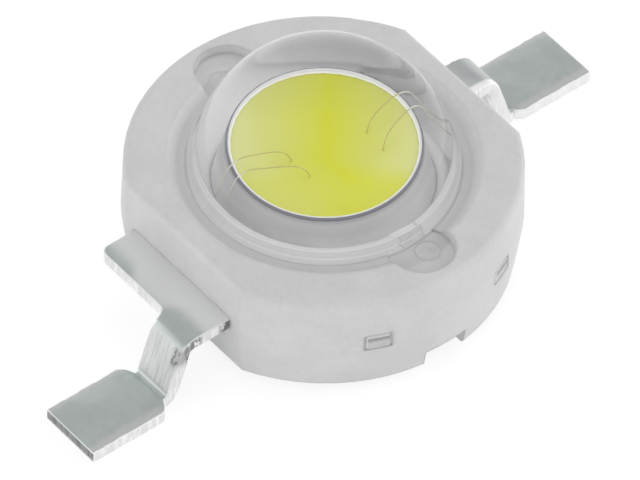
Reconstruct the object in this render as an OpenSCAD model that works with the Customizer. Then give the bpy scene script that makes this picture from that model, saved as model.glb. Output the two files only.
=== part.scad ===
// High power light-emitting diode of the 8 mm emitter type, in millimetres.
// A moulded ring holds a metal slug and two formed leads. The slug's top is a reflector cup with
// the chip, and a clear shell filled with soft silicone makes the dome over it.
// z = 0 is the board that the feet and the slug stand on, and the leads run along X.

/* [Ring] */
// Diameter of the moulded ring at its parting line
ring_d = 8.1; // [7.9:0.05:8.6]
// Distance between the two flats that the leads come out of
flats_w = 7.24; // [7.1:0.02:7.5]
// Height of the ring's underside above the board
ring_base = 0.14; // [0.06:0.02:0.2]
// Height of the ring's top face above the board
ring_top = 2.6; // [2.5:0.05:2.8]
// Loss of radius from the parting line down to the underside
draft_low = 0.14; // [0.05:0.01:0.2]
// Loss of radius from the parting line up to the top
draft_high = 0.03; // [0.01:0.01:0.08]
// Radius of the ring's top outer edge
rim_r = 0.14; // [0.1:0.02:0.3]
// Chamfer of the ring's bottom outer edge
base_chamfer = 0.06; // [0.02:0.02:0.1]
// Width of the groove round the lens
groove_w = 0.4; // [0.3:0.02:0.5]
// Depth of the groove round the lens
groove_depth = 0.17; // [0.08:0.01:0.24]
// Radius of the two filling pockets beside the lens
pocket_r = 0.68; // [0.5:0.02:0.72]
// Distance from the axis to a pocket's centre
pocket_reach = 3.08; // [2.9:0.02:3.12]
// Depth of a pocket under the top face
pocket_depth = 0.22; // [0.2:0.01:0.28]
// Width of the notch in the underside, below each pocket
notch_w = 1; // [0.8:0.1:1.6]
// Height of that notch
notch_h = 0.42; // [0.2:0.02:0.5]
// How far that notch cuts into the ring
notch_cut = 0.5; // [0.3:0.05:0.6]

/* [Lens] */
// Diameter of the clear dome
dome_d = 5.24; // [5.1:0.02:5.4]
// How far the dome's centre lies under the ring's top face
dome_sink = 0.1; // [0:0.02:0.2]
// Thickness of the dome's shell
dome_wall = 0.62; // [0.5:0.02:0.7]
// Diameter of the flange at the dome's foot
flange_d = 5.5; // [5.44:0.02:5.6]
// How far the flange stands above the ring's top face
flange_rise = 0.03; // [0:0.01:0.06]
// Radius of the flange's top edge
flange_r = 0.05; // [0.03:0.01:0.06]
// Depth of the seat under the ring's top face
seat_depth = 0.3; // [0.3:0.01:0.36]
// Clearance round the flange in its seat
seat_gap = 0.02; // [0.01:0.01:0.04]

/* [Slug] */
// Diameter of the slug's base, which is soldered to the board
slug_d = 5.8; // [5.5:0.1:6]
// Thickness of the slug's base
slug_h = 0.55; // [0.45:0.05:0.6]
// Diameter of the locking step above the base
lock_d = 4.7; // [4.2:0.1:4.9]
// Height of the locking step above the board
lock_h = 0.9; // [0.8:0.05:1]
// Undercut of the locking step
lock_cut = 0.14; // [0.08:0.02:0.2]
// Diameter of the column that carries the cup
column_d = 2.84; // [2.76:0.02:2.88]
// Height of the cup's rim above the board
cup_top = 2.62; // [2.56:0.02:2.7]
// Thickness of the cup's rounded rim
cup_rim_t = 0.08; // [0.06:0.01:0.12]
// Depth of the cup under its rim
cup_depth = 0.54; // [0.46:0.02:0.6]
// Diameter of the cup's floor
cup_floor_d = 2.32; // [2.28:0.02:2.4]

/* [Cavity] */
// Diameter of the well round the column
well_d = 3.76; // [3.72:0.02:3.9]
// Height of the well's floor above the board
well_floor = 1.8; // [1.72:0.02:1.9]
// Inner radius of the bonding windows in the well's floor
window_in = 1.56; // [1.54:0.01:1.6]
// Outer radius of the bonding windows
window_out = 1.84; // [1.82:0.01:1.86]
// Angle that each bonding window spans, in degrees
window_span = 80; // [76:1:84]
// Width of the channel from each pocket to the well
channel_w = 0.5; // [0.4:0.02:0.6]
// Height of that channel
channel_h = 0.24; // [0.18:0.02:0.26]
// Sideways shift of the channel from the pocket's centre
channel_shift = 0.16; // [0:0.02:0.2]

/* [Leads] */
// Length over both feet
lead_span = 14.5; // [14:0.1:15]
// Thickness of the lead frame
lead_t = 0.3; // [0.25:0.01:0.32]
// Height of the leads' top face where they leave the ring
lead_top = 1.58; // [1.5:0.02:1.64]
// Width of the wide lead's root
root_w = 3.06; // [2.8:0.02:3.2]
// Width of the narrow lead's root
short_root_w = 2.5; // [2.4:0.02:2.8]
// How far the wide lead's root stands out of the flat
root_out = 0.85; // [0.75:0.01:0.9]
// How far the narrow lead's root stands out of the flat
short_root_out = 0.48; // [0.4:0.02:0.6]
// Width of the bent neck
neck_w = 0.96; // [0.9:0.02:1.04]
// Width of a foot
foot_w = 1.5; // [1.4:0.05:1.6]
// Chamfer of a foot's two inner corners
foot_chamfer = 0.24; // [0.16:0.02:0.3]
// Distance from the middle plane to the centre of the wide lead's foot
foot_shift = 1.05; // [1:0.01:1.1]
// Distance from the middle plane to the centre of the narrow lead's foot
short_foot_shift = 0.98; // [0.9:0.02:1]
// Inside radius of the bends
bend_r = 0.12; // [0.08:0.01:0.16]
// Slope of the neck between its bends, in degrees
neck_slope = 72; // [66:1:80]
// Radius of the corners of a lead's outline
corner_r = 0.18; // [0.1:0.01:0.22]
// Inner radius of the pad that a lead has in the well
pad_in = 1.5; // [1.47:0.01:1.53]
// Outer radius of that pad
pad_out = 2.9; // [2.6:0.05:3.1]
// Angle that the pad spans, in degrees
pad_span = 88; // [86:1:92]

/* [Tie bars] */
// Width of a cut tie bar
tie_w = 0.46; // [0.4:0.02:0.6]
// Thickness of a cut tie bar
tie_t = 0.26; // [0.2:0.02:0.28]
// Angle from the Y axis to a tie bar, in degrees
tie_angle = 23; // [20:1:26]
// Length of a tie bar inside the ring
tie_l = 0.6; // [0.4:0.05:0.8]
// Width of the relief round a tie bar's cut end
tie_relief = 0.06; // [0.04:0.01:0.08]
// Depth of that relief
relief_depth = 0.1; // [0.06:0.01:0.15]

/* [Chip] */
// Side of the square chip
chip_w = 1.24; // [1.22:0.01:1.28]
// How far the chip sits off the axis, along X
chip_x = 0.14; // [0:0.02:0.16]
// How far the chip sits off the axis, along Y
chip_y = -0.11; // [-0.14:0.01:0]
// Thickness of the chip
chip_t = 0.12; // [0.1:0.01:0.14]
// Thickness of the die attach under the chip
attach_t = 0.03; // [0.02:0.01:0.04]
// Border of die attach that shows round the chip
attach_border = 0.05; // [0.03:0.01:0.07]
// Depth of the phosphor's surface under the cup's rim
phosphor_drop = 0.04; // [0.02:0.01:0.1]

/* [Bond wires] */
// Diameter of the bond wire
wire_d = 0.03; // [0.025:0.0025:0.04]
// Radius of the wire's two bends
loop_r = 0.34; // [0.26:0.01:0.36]
// Distance from the second bend's centre to the wire's far end, seen from above
wire_drop = 0.54; // [0.5:0.01:0.58]
// Height of a loop's top above the cup's rim
loop_rise = 0.25; // [0.22:0.01:0.3]
// Distance from the chip's middle to its contacts along X
contact_x = 0.56; // [0.5:0.01:0.57]
// Distance between the two contacts on one side of the chip
contact_pitch = 0.4; // [0.3:0.01:0.46]
// How far the two sides' contacts are staggered along Y, each way
contact_stagger = 0.11; // [0:0.01:0.16]
// Distance from the axis to the wires' far ends
wire_reach = 1.74; // [1.7:0.01:1.78]
// Turn of the wires' far ends on the wide lead from the X axis, in degrees
wide_turn = 22; // [14:1:30]
// Turn of the wires' far ends on the narrow lead from the X axis, in degrees
narrow_turn = 2; // [0:1:20]
// Angle between the far ends of the two wires on one lead, in degrees
wire_fan = 8; // [6:1:10]
// Diameter of the bonded ends
bond_d = 0.09; // [0.07:0.01:0.1]
// Thickness of the bonded ends
bond_t = 0.03; // [0.02:0.005:0.035]

/* [Hidden] */
$fn = 96;
// Cuts run this far past the faces that they open, and a short way where another cut lies close
over = 1;
short_over = 0.1;
ring_r = ring_d / 2;
flat_x = flats_w / 2;
lead_bottom = lead_top - lead_t;
// The mould parts at the underside of the lead frame
parting_z = lead_bottom;
// The tie bars are cut from the same sheet as the leads
tie_z = lead_bottom + lead_t / 2;
seat_z = ring_top - seat_depth;
seat_r = flange_d / 2 + seat_gap;
dome_r = dome_d / 2;
dome_z = ring_top - dome_sink;
hollow_r = dome_r - dome_wall;
flange_top = ring_top + flange_rise;
column_r = column_d / 2;
rim_bead = cup_rim_t / 2;
cup_mouth_r = column_r - cup_rim_t;
cup_mouth_z = cup_top - rim_bead;
cup_floor = cup_top - cup_depth;
phosphor_z = cup_top - phosphor_drop;
attach_top = cup_floor + attach_t;
chip_top = attach_top + chip_t;
bend_x = flat_x + root_out;
tie_spots = [-tie_angle, tie_angle, 180 - tie_angle, 180 + tie_angle];
loop_top = cup_top + loop_rise;

// Half profile of the ring: drafted sides that meet at the parting line, and a rounded top edge
module ring_profile() {
    shoulder = ring_r - draft_high - rim_r;
    polygon([[0, ring_base],
             [ring_r - draft_low - base_chamfer, ring_base],
             [ring_r - draft_low, ring_base + base_chamfer],
             [ring_r, parting_z],
             [shoulder + rim_r, ring_top - rim_r],
             [shoulder, ring_top - rim_r],
             [shoulder, ring_top],
             [0, ring_top]]);
    translate([shoulder, ring_top - rim_r]) circle(rim_r);
}

// Cross profile between the flats, with the same drafts and edges as the round sides
module flats_profile() {
    shoulder = flat_x - draft_high - rim_r;
    for (side = [0, 1]) mirror([side, 0]) {
        polygon([[0, ring_base],
                 [flat_x - draft_low - base_chamfer, ring_base],
                 [flat_x - draft_low, ring_base + base_chamfer],
                 [flat_x, parting_z],
                 [shoulder + rim_r, ring_top - rim_r],
                 [shoulder, ring_top - rim_r],
                 [shoulder, ring_top],
                 [0, ring_top]]);
        translate([shoulder, ring_top - rim_r]) circle(rim_r);
    }
}

module ring_blank() {
    intersection() {
        rotate_extrude() ring_profile();
        rotate([90, 0, 0]) linear_extrude(ring_d + over, center = true) flats_profile();
    }
}

// Sloping groove in the top face, from the lens seat outwards
module groove() {
    outer = seat_r + groove_w;
    rotate_extrude()
        polygon([[0, ring_top - groove_depth],
                 [seat_r + groove_w / 2, ring_top - groove_depth],
                 [outer, ring_top],
                 [outer, ring_top + over],
                 [0, ring_top + over]]);
}

// Sector of a disc between two radii, centred on +X
module sector(inner, outer, span) {
    reach = outer * 2;
    difference() {
        intersection() {
            circle(outer);
            polygon([[0, 0],
                     [reach * cos(span / 2), -reach * sin(span / 2)],
                     [reach, 0],
                     [reach * cos(span / 2), reach * sin(span / 2)]]);
        }
        circle(inner);
    }
}

// Space that the silicone shares with the column: the well, its windows and its filling channels
module well() {
    translate([0, 0, well_floor]) cylinder(h = seat_z - well_floor, d = well_d);
    for (turn = [0, 180]) rotate(turn) {
        translate([0, 0, lead_top])
            linear_extrude(well_floor - lead_top + short_over) sector(window_in, window_out, window_span);
        channel();
    }
}

// Channel that leads from the pocket's floor to the well
module channel() {
    floor_z = ring_top - pocket_depth;
    mouth_y = -pocket_reach;
    translate([channel_shift, 0, seat_z - channel_h]) {
        translate([-channel_w / 2, mouth_y, 0]) cube([channel_w, -mouth_y - column_r - short_over, channel_h]);
        translate([0, mouth_y, 0]) cylinder(h = floor_z - seat_z + channel_h, d = channel_w);
    }
}

module pocket() {
    translate([0, -pocket_reach, ring_top - pocket_depth]) cylinder(h = pocket_depth + over, r = pocket_r);
}

module notch() {
    deep = ring_r - notch_cut;
    translate([-notch_w / 2, -deep - notch_cut - over, ring_base - over])
        cube([notch_w, notch_cut + over, notch_h + over]);
}

module housing() {
    color("whitesmoke") difference() {
        ring_blank();
        slug_blank();
        well();
        translate([0, 0, seat_z]) cylinder(h = seat_depth + over, r = seat_r);
        groove();
        for (turn = [0, 180]) rotate(turn) {
            pocket();
            notch();
        }
        lead_plate(root_w, root_out, foot_shift, 180);
        lead_plate(short_root_w, short_root_out, short_foot_shift, 0);
        for (spot = tie_spots) {
            tie_bar(spot);
            tie_end_relief(spot);
        }
    }
}

// The slug without its cup: base, undercut locking step and column with a rounded rim
module slug_blank() {
    edge = base_chamfer;
    rotate_extrude() {
        polygon([[0, 0],
                 [slug_d / 2 - edge, 0],
                 [slug_d / 2, edge],
                 [slug_d / 2, slug_h],
                 [lock_d / 2 - lock_cut, slug_h],
                 [lock_d / 2, lock_h],
                 [column_r, lock_h],
                 [column_r, cup_mouth_z],
                 [column_r - rim_bead, cup_mouth_z],
                 [column_r - rim_bead, cup_top],
                 [0, cup_top]]);
        translate([column_r - rim_bead, cup_mouth_z]) circle(rim_bead);
    }
}

// Open space of the cup between two heights: the cone over its floor and the throat in its rounded rim
module cup_opening(from, to) {
    throat = column_r - rim_bead;
    rotate_extrude() intersection() {
        difference() {
            polygon([[0, cup_floor],
                     [cup_floor_d / 2, cup_floor],
                     [cup_mouth_r, cup_mouth_z],
                     [throat, cup_mouth_z],
                     [throat, cup_top + over],
                     [0, cup_top + over]]);
            translate([throat, cup_mouth_z]) circle(rim_bead);
        }
        translate([0, from]) square([column_r, to - from]);
    }
}

module heat_slug() {
    color("silver") difference() {
        slug_blank();
        cup_opening(cup_floor, cup_top + over);
    }
}

// Outline of a lead seen from above: pad, root, neck and foot, on the +X side
module lead_outline(root, out, shift) {
    root_end = flat_x + out;
    neck_y = root / 2 - neck_w;
    foot_x = foot_start();
    foot_y = shift - foot_w / 2;
    sector(pad_in, pad_out, pad_span);
    difference() {
        translate([pad_out * cos(pad_span / 2), -root / 2]) square([root_end - pad_out * cos(pad_span / 2), root]);
        circle(pad_in + (pad_out - pad_in) / 2);
        translate([root_end - corner_r, -root / 2]) corner_cut(corner_r);
    }
    translate([root_end - over, neck_y]) square([foot_x - root_end + over, neck_w]);
    translate([root_end, neck_y]) inner_fillet(corner_r);
    polygon([[foot_x, foot_y + foot_chamfer],
             [foot_x + foot_chamfer, foot_y],
             [lead_span / 2, foot_y],
             [lead_span / 2, foot_y + foot_w],
             [foot_x + foot_chamfer, foot_y + foot_w],
             [foot_x, foot_y + foot_w - foot_chamfer]]);
}

// Waste outside a rounded corner whose arc ends at the origin and one radius up and out
module corner_cut(radius) {
    difference() {
        translate([0, -over]) square([radius + over, radius + over]);
        translate([0, radius]) circle(radius);
    }
}

// Web that rounds the inside corner between root and neck
module inner_fillet(radius) {
    lap = radius / 2;
    difference() {
        translate([-lap, -radius]) square([radius + lap, radius + lap]);
        translate([radius, -radius]) circle(radius);
    }
}

// Where the sloping part of the neck ends, by the geometry of the two bends
function slope_run() =
    let (drop = lead_top - lead_t - bend_r + (lead_t + bend_r) * cos(neck_slope)
                - (lead_t + bend_r - bend_r * cos(neck_slope)))
    drop / sin(neck_slope);
function foot_start() =
    bend_x + (lead_t + 2 * bend_r) * sin(neck_slope) + slope_run() * cos(neck_slope);

// Bend of the strip: the sector of an annulus between two angles
module bend(from, to) {
    reach = 2 * (lead_t + bend_r);
    middle = (from + to) / 2;
    tip = reach / cos((to - from) / 2);
    difference() {
        intersection() {
            circle(lead_t + bend_r);
            polygon([[0, 0],
                     [reach * cos(from), reach * sin(from)],
                     [tip * cos(middle), tip * sin(middle)],
                     [reach * cos(to), reach * sin(to)]]);
        }
        circle(bend_r);
    }
}

// Side view of the strip: flat top, upper bend, slope, lower bend and foot
module strip_profile() {
    lift = lead_top - lead_t - bend_r;
    square_from = pad_in * cos(pad_span / 2) - short_over;
    translate([square_from, lead_bottom]) square([bend_x - square_from, lead_t]);
    translate([bend_x, lift]) {
        bend(90 - neck_slope, 90);
        rotate(90 - neck_slope) translate([bend_r, -slope_run()]) square([lead_t, slope_run()]);
    }
    translate([foot_start(), lead_t + bend_r]) bend(270 - neck_slope, 270);
    translate([foot_start(), 0]) square([lead_span / 2 - foot_start(), lead_t]);
}

module lead(root, out, shift, turn) {
    rotate(turn) intersection() {
        linear_extrude(lead_top) lead_outline(root, out, shift);
        rotate([90, 0, 0]) linear_extrude(ring_d, center = true) strip_profile();
    }
}

// The flat part of a lead alone, which the ring is moulded round
module lead_plate(root, out, shift, turn) {
    rotate(turn) intersection() {
        translate([0, 0, lead_bottom]) linear_extrude(lead_t) lead_outline(root, out, shift);
        translate([0, -ring_r, lead_bottom]) cube([ring_r, ring_d, lead_t]);
    }
}

module wide_lead() {
    color("silver") lead(root_w, root_out, foot_shift, 180);
}

module narrow_lead() {
    color("silver") lead(short_root_w, short_root_out, short_foot_shift, 0);
}

module tie_bar(spot) {
    rotate(spot) translate([-tie_w / 2, -ring_r, tie_z - tie_t / 2]) cube([tie_w, tie_l, tie_t]);
}

module tie_end_relief(spot) {
    width = tie_w + 2 * tie_relief;
    height = tie_t + 2 * tie_relief;
    rotate(spot) translate([-width / 2, -ring_r - over, tie_z - height / 2])
        cube([width, over + relief_depth, height]);
}

module die_attach() {
    side = chip_w + 2 * attach_border;
    color("lightgray") translate([chip_x - side / 2, chip_y - side / 2, cup_floor])
        cube([side, side, attach_t]);
}

module led_chip() {
    color("lightsteelblue") translate([chip_x - chip_w / 2, chip_y - chip_w / 2, attach_top])
        cube([chip_w, chip_w, chip_t]);
}

module phosphor_fill() {
    color("gold") difference() {
        cup_opening(cup_floor, phosphor_z);
        die_attach();
        led_chip();
        bond_wires();
    }
}

// One loop in its own plane, from the contact at the origin to a lower pad at the given run: a ball,
// an upright, a bend, a level span, a second bend, a straight slope and a flat bonded end
module wire_loop(run, start_z, end_z) {
    centre_z = loop_top - wire_d / 2 - loop_r;
    second = run - wire_drop;
    slant = norm([wire_drop, end_z - centre_z]);
    toward = atan2(end_z - centre_z, wire_drop);
    leave = toward + acos(loop_r / slant);
    translate([0, 0, start_z]) cylinder(h = bond_t, d = bond_d);
    translate([0, 0, start_z]) cylinder(h = centre_z - start_z, d = wire_d);
    translate([loop_r, 0, centre_z]) wire_bend(90, 180);
    translate([loop_r, 0, centre_z + loop_r]) rotate([0, 90, 0]) cylinder(h = second - loop_r, d = wire_d);
    translate([second, 0, centre_z]) {
        wire_bend(leave, 90);
        rotate([0, -leave, 0]) translate([loop_r, 0, 0]) rotate([180, 0, 0])
            cylinder(h = sqrt(slant * slant - loop_r * loop_r) + wire_d, d = wire_d);
    }
    translate([run, 0, end_z]) cylinder(h = bond_t, d = bond_d);
}

// Bend of the wire between two angles, in the plane of X and Z
module wire_bend(from, to) {
    rotate([90, 0, 0]) rotate(from) rotate_extrude(angle = to - from) translate([loop_r, 0]) circle(d = wire_d);
}

// A wire from a contact to the pad in the window: side -1 is the wide lead's, and row -1 or 1 is
// the lower or upper of its two
module bond_wire(side, row) {
    start = [chip_x + side * contact_x, chip_y - side * contact_stagger + row * contact_pitch / 2];
    turn = (side < 0 ? 180 - wide_turn : narrow_turn) + side * row * wire_fan / 2;
    far = wire_reach * [cos(turn), sin(turn)];
    run = norm(far - start);
    heading = atan2(far[1] - start[1], far[0] - start[0]);
    intersection() {
        translate([start[0], start[1], 0]) rotate(heading) wire_loop(run, chip_top, lead_top);
        translate([0, 0, lead_top]) cylinder(h = loop_top, r = wire_reach + bond_d);
    }
}

module bond_wires() {
    for (side = [-1, 1], row = [-1, 1]) bond_wire(side, row);
}

// Hollow under the dome: the shell's inside sphere, run straight down to the seat
module hollow() {
    rotate_extrude() intersection() {
        union() {
            translate([0, dome_z]) circle(hollow_r);
            translate([0, seat_z]) square([hollow_r, dome_z - seat_z]);
        }
        translate([0, seat_z]) square([hollow_r, dome_r + seat_depth]);
    }
}

module silicone_fill() {
    color("aliceblue", 0.5) difference() {
        union() {
            well();
            hollow();
        }
        filled_slug();
        bond_wires();
    }
}

// What the silicone flows round: the column, its rim and the filled cup
module filled_slug() {
    difference() {
        slug_blank();
        cup_opening(phosphor_z, cup_top + over);
    }
}

module lens() {
    color("lightcyan", 0.4) difference() {
        rotate_extrude() {
            intersection() {
                translate([0, dome_z]) circle(dome_r);
                translate([0, seat_z]) square([dome_r, dome_r + seat_depth]);
            }
            translate([0, seat_z]) square([flange_d / 2, flange_top - flange_r - seat_z]);
            translate([0, seat_z]) square([flange_d / 2 - flange_r, flange_top - seat_z]);
            translate([flange_d / 2 - flange_r, flange_top - flange_r]) circle(flange_r);
        }
        hollow();
    }
}

housing();
heat_slug();
wide_lead();
narrow_lead();
color("silver") tie_bar(tie_spots[0]);  // tie_bar_1
color("silver") tie_bar(tie_spots[1]);  // tie_bar_2
color("silver") tie_bar(tie_spots[2]);  // tie_bar_3
color("silver") tie_bar(tie_spots[3]);  // tie_bar_4
die_attach();
led_chip();
phosphor_fill();
color("gold") bond_wire(-1, -1);  // bond_wire_1
color("gold") bond_wire(-1, 1);  // bond_wire_2
color("gold") bond_wire(1, -1);  // bond_wire_3
color("gold") bond_wire(1, 1);  // bond_wire_4
silicone_fill();
lens();
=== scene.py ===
"""Finished look of a power LED: clear dome, silicone, plated metal, white moulding and phosphor over the
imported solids, on a pale studio floor."""
import math
from types import SimpleNamespace

import bmesh
import bpy
import numpy as np
from bpy.props import FloatProperty, FloatVectorProperty, IntProperty, PointerProperty
from mathutils import Matrix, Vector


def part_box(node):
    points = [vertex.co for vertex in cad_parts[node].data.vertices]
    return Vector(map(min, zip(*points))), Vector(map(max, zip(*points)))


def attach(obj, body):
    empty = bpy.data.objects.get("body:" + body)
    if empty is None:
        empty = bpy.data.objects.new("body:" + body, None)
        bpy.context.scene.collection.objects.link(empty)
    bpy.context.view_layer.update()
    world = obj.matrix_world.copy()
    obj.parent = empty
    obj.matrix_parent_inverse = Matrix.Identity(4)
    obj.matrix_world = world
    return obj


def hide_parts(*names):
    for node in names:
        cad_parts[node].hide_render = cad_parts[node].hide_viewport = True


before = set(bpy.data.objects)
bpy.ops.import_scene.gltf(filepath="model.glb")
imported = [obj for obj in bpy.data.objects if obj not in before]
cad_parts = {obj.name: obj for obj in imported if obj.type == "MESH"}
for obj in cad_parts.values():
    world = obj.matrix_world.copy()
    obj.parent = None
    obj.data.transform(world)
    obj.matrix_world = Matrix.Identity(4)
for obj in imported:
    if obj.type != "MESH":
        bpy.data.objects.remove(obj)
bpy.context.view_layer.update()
MM = 0.001

# Sizes in millimetres, read from the frame or the same as in the solids

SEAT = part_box("lens")[0][2] / MM
FLANGE_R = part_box("lens")[1][0] / MM
RING_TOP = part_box("housing")[1][2] / MM
LEAD_TOP, LEAD_T, FOOT_MIDDLE = 1.58, 0.3, 1.015
CHIP_X, CHIP_Y, CHIP_TOP = 0.14, -0.11, 2.23

# Edges in millimetres where a finish changes, each from where the change begins to where it ends

# Well, column's foot, groove round the dome and reliefs round the tie bars
WELL_EDGE, WELL_RISE, WELL_WALL = (2.3, 2.36), (1.82, 2.29), (1.78, 2.08)
COLUMN_FOOT, COLUMN_FOOT_RISE = (1.415, 1.44), (1.82, 1.9)
GROOVE_IN, GROOVE_OUT, GROOVE_RISE = (2.7, 2.76), (3.2, 3.3), (2.42, 2.6)
RELIEF_ACROSS, RELIEF_DEPTH = (3.0, 3.1), (4.0, 4.03)
RELIEF_LOW, RELIEF_HIGH, BAR_TOP_SHADOW = (1.2, 1.22), (1.64, 1.66), (1.5, 1.57)
# Column and cup's rim
COLUMN_FADE, COLUMN_TOP, RIM_TOP = (1.95, 2.35), (2.44, 2.55), (2.55, 2.57)
RIM_OUTSIDE, RIM_OUTSIDE_RISE = (1.388, 1.4), (2.548, 2.56)
# Leads: pad and root, the worn line on the narrow root, and cracks
PAD_END, ROOT_TOP, ROOT_END, ROOT_SKEW = (2.9, 3.0), (1.46, 1.56), (4.3, 4.65), (0.35, 0.8)
FAR_ROOT_RISE, WORN_LEFT, WORN_RIGHT = (0.95, 1.15), (0.2, 0.28), (0.4, 0.5)
WORN_RISE, WORN_REACH, CRACKED_ROOT = (0.6, 0.8), (3.6, 3.9), (3.75, 3.95)
BEND_IN, BEND_OUT, BEND_RISE, FRAYED = (4.25, 4.4), (4.66, 4.8), (0.85, 1.05), (1.33, 1.38)
# Leads: neck, foot and cut tip
NECK_REACH, NECK_LOW, NECK_HIGH = (4.5, 4.62), (0.3, 0.45), (1.3, 1.46)
NECK_FADE, NECK_BEND = (0.5, 1.2), (0.9, 1.1)
FOOT_BORDER, FOOT_REACH, FOOT_TOP = (0.5, 0.72), (5.3, 5.5), (0.32, 0.4)
TIP_REACH, TIP_RISE = (7.0, 7.1), (0.03, 0.1)
# Phosphor: its edge, and along its diagonal where its deep part shifts and where its two ends take a painted
# shade
FILL_EDGE, FILL_SHIFT, FILL_FAR, FILL_NEAR = (1.325, 1.345), (-0.65, -0.05), (0.5, 1.3), (-1.2, -0.3)
# Wires: where they pass the rim
WIRE_RIM = (1.3, 1.42)

bl_info = {
    "name": "Power LED finish",
    "version": (1, 0, 0),
    "blender": (4, 5, 0),
    "location": "3D View > Sidebar > Power LED",
    "description": "Dome, silicone, bond wires, leads, finishes and studio for a power LED",
    "category": "Object",
}


# Shader maths

class Value:
    """A node output that takes part in sums: each operator adds its Math node."""

    def __init__(self, bench, socket):
        self.bench, self.socket = bench, socket

    def sum(self, operation, first, second):
        return self.bench.node("ShaderNodeMath", {"operation": operation}, {0: first, 1: second})

    def __add__(self, other):
        return self.sum("ADD", self, other)

    def __radd__(self, other):
        return self.sum("ADD", other, self)

    def __sub__(self, other):
        return self.sum("SUBTRACT", self, other)

    def __rsub__(self, other):
        return self.sum("SUBTRACT", other, self)

    def __mul__(self, other):
        return self.sum("MULTIPLY", self, other)

    def __rmul__(self, other):
        return self.sum("MULTIPLY", other, self)

    def __truediv__(self, other):
        return self.sum("DIVIDE", self, other)

    def __pow__(self, other):
        return self.sum("POWER", self, other)

    def __abs__(self):
        return self.bench.node("ShaderNodeMath", {"operation": "ABSOLUTE"}, {0: self})


class Bench:
    """The nodes of one material, or of the world, under construction."""

    def __init__(self, owner, output="ShaderNodeOutputMaterial"):
        owner.use_nodes = True
        self.owner, self.tree, self.output = owner, owner.node_tree, output
        self.tree.nodes.clear()

    def node(self, kind, settings=None, inputs=None, output=0):
        """Adds a node: its settings first, then its sockets' values or links."""
        made = self.tree.nodes.new(kind)
        for name, value in (settings or {}).items():
            setattr(made, name, value)
        for key, value in (inputs or {}).items():
            if isinstance(value, Value):
                self.tree.links.new(value.socket, made.inputs[key])
            else:
                made.inputs[key].default_value = value
        return Value(self, made.outputs[output])

    def place(self):
        """Object coordinates in millimetres."""
        raw = self.node("ShaderNodeTexCoord", output="Object")
        return self.node("ShaderNodeVectorMath", {"operation": "SCALE"}, {0: raw, "Scale": 1 / MM})

    def facing(self):
        """Normal in object space."""
        return self.node("ShaderNodeTexCoord", output="Normal")

    def part(self, vector, axis):
        """X, Y or Z of a vector, for axis 0, 1 or 2."""
        return self.node("ShaderNodeSeparateXYZ", None, {0: vector}, axis)

    def from_axis(self, place):
        """Distance from the Z axis."""
        x, y = self.part(place, 0), self.part(place, 1)
        return (x * x + y * y) ** 0.5

    def noise(self, place, scale, detail=3.0, roughness=0.5, distortion=0.0):
        """Noise from 0 to 1, scale in waves to a millimetre."""
        return self.node("ShaderNodeTexNoise", None, {
            "Vector": place, "Scale": scale, "Detail": detail, "Roughness": roughness,
            "Distortion": distortion})

    def streaks(self, place, factors, detail, roughness):
        """Noise with its own scale along each axis."""
        stretched = self.node("ShaderNodeVectorMath", {"operation": "MULTIPLY"}, {0: place, 1: factors})
        return self.noise(stretched, 1.0, detail, roughness)

    def step(self, value, low, high, at_low=0.0, at_high=1.0):
        """One level below low, another above high, smooth between."""
        return self.node("ShaderNodeMapRange", {"interpolation_type": "SMOOTHSTEP"}, {
            "Value": value, "From Min": low, "From Max": high, "To Min": at_low, "To Max": at_high})

    def band(self, value, rise, fall):
        """1 between two edges and 0 outside them."""
        return self.step(value, *rise) * (1 - self.step(value, *fall))

    def larger(self, first, second):
        """The larger of two values."""
        return self.node("ShaderNodeMath", {"operation": "MAXIMUM"}, {0: first, 1: second})

    def blend(self, amount, first, second):
        """Colour between two colours."""
        return self.node("ShaderNodeMix", {"data_type": "RGBA"}, {0: amount, 6: first, 7: second}, 2)

    def bump(self, height, strength, depth=0.01, normal=None):
        """Normal of a relief that is depth millimetres deep."""
        sockets = {"Height": height, "Strength": strength, "Distance": depth * MM}
        if normal:
            sockets["Normal"] = normal
        return self.node("ShaderNodeBump", None, sockets)

    def soft_edges(self, radius):
        """Normal that is rounded over edges, radius in millimetres."""
        return self.node("ShaderNodeBevel", {"samples": 6}, {"Radius": radius * MM})

    def ray(self, kind):
        """1 for rays of one kind, 0 for all others."""
        return self.node("ShaderNodeLightPath", output=kind)

    def surface(self, **sockets):
        """Principled shader with the given sockets, words joined by underscores."""
        named = {name.replace("_", " "): value for name, value in sockets.items()}
        return self.node("ShaderNodeBsdfPrincipled", None, named)

    def mix(self, factor, first, second):
        """Shader between two shaders."""
        return self.node("ShaderNodeMixShader", None, {0: factor, 1: first, 2: second})

    def finish(self, shader):
        """Links the shader to the output and returns the material or the world."""
        out = self.tree.nodes.new(self.output)
        self.tree.links.new(shader.socket, out.inputs["Surface"])
        return self.owner


def new_material(name):
    """A bench for a new material."""
    return Bench(bpy.data.materials.new(name))


def rgb(colour):
    """Opaque colour from a colour setting."""
    return (*colour[:3], 1.0)


def grey(level):
    """Opaque neutral colour."""
    return (level, level, level, 1.0)


# Finishes

# Painted light: a near white for places that should read as lit
PAINTED_LIGHT_WHITE = (0.98, 0.98, 0.985, 1)
COINED = (0.97, 0.97, 0.96, 1)
# Painted shade on the column's upper part, and a painted shadow just under the rim
COLUMN_PAINTED_SHADE, UNDER_RIM_SHADOW = (0.61, 0.61, 0.62, 1), (0.25, 0.25, 0.27, 1)
# Drawn lines on the necks, and a painted shade on the narrow lead's root
DRAWN_LINES, FAR_ROOT_SHADE = (0.46, 0.47, 0.47, 1), (0.49, 0.51, 0.51, 1)
# Painted light on the wires beyond the rim
WIRE_PAINTED_LIGHT = (0.86, 0.86, 0.79, 1)


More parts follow.
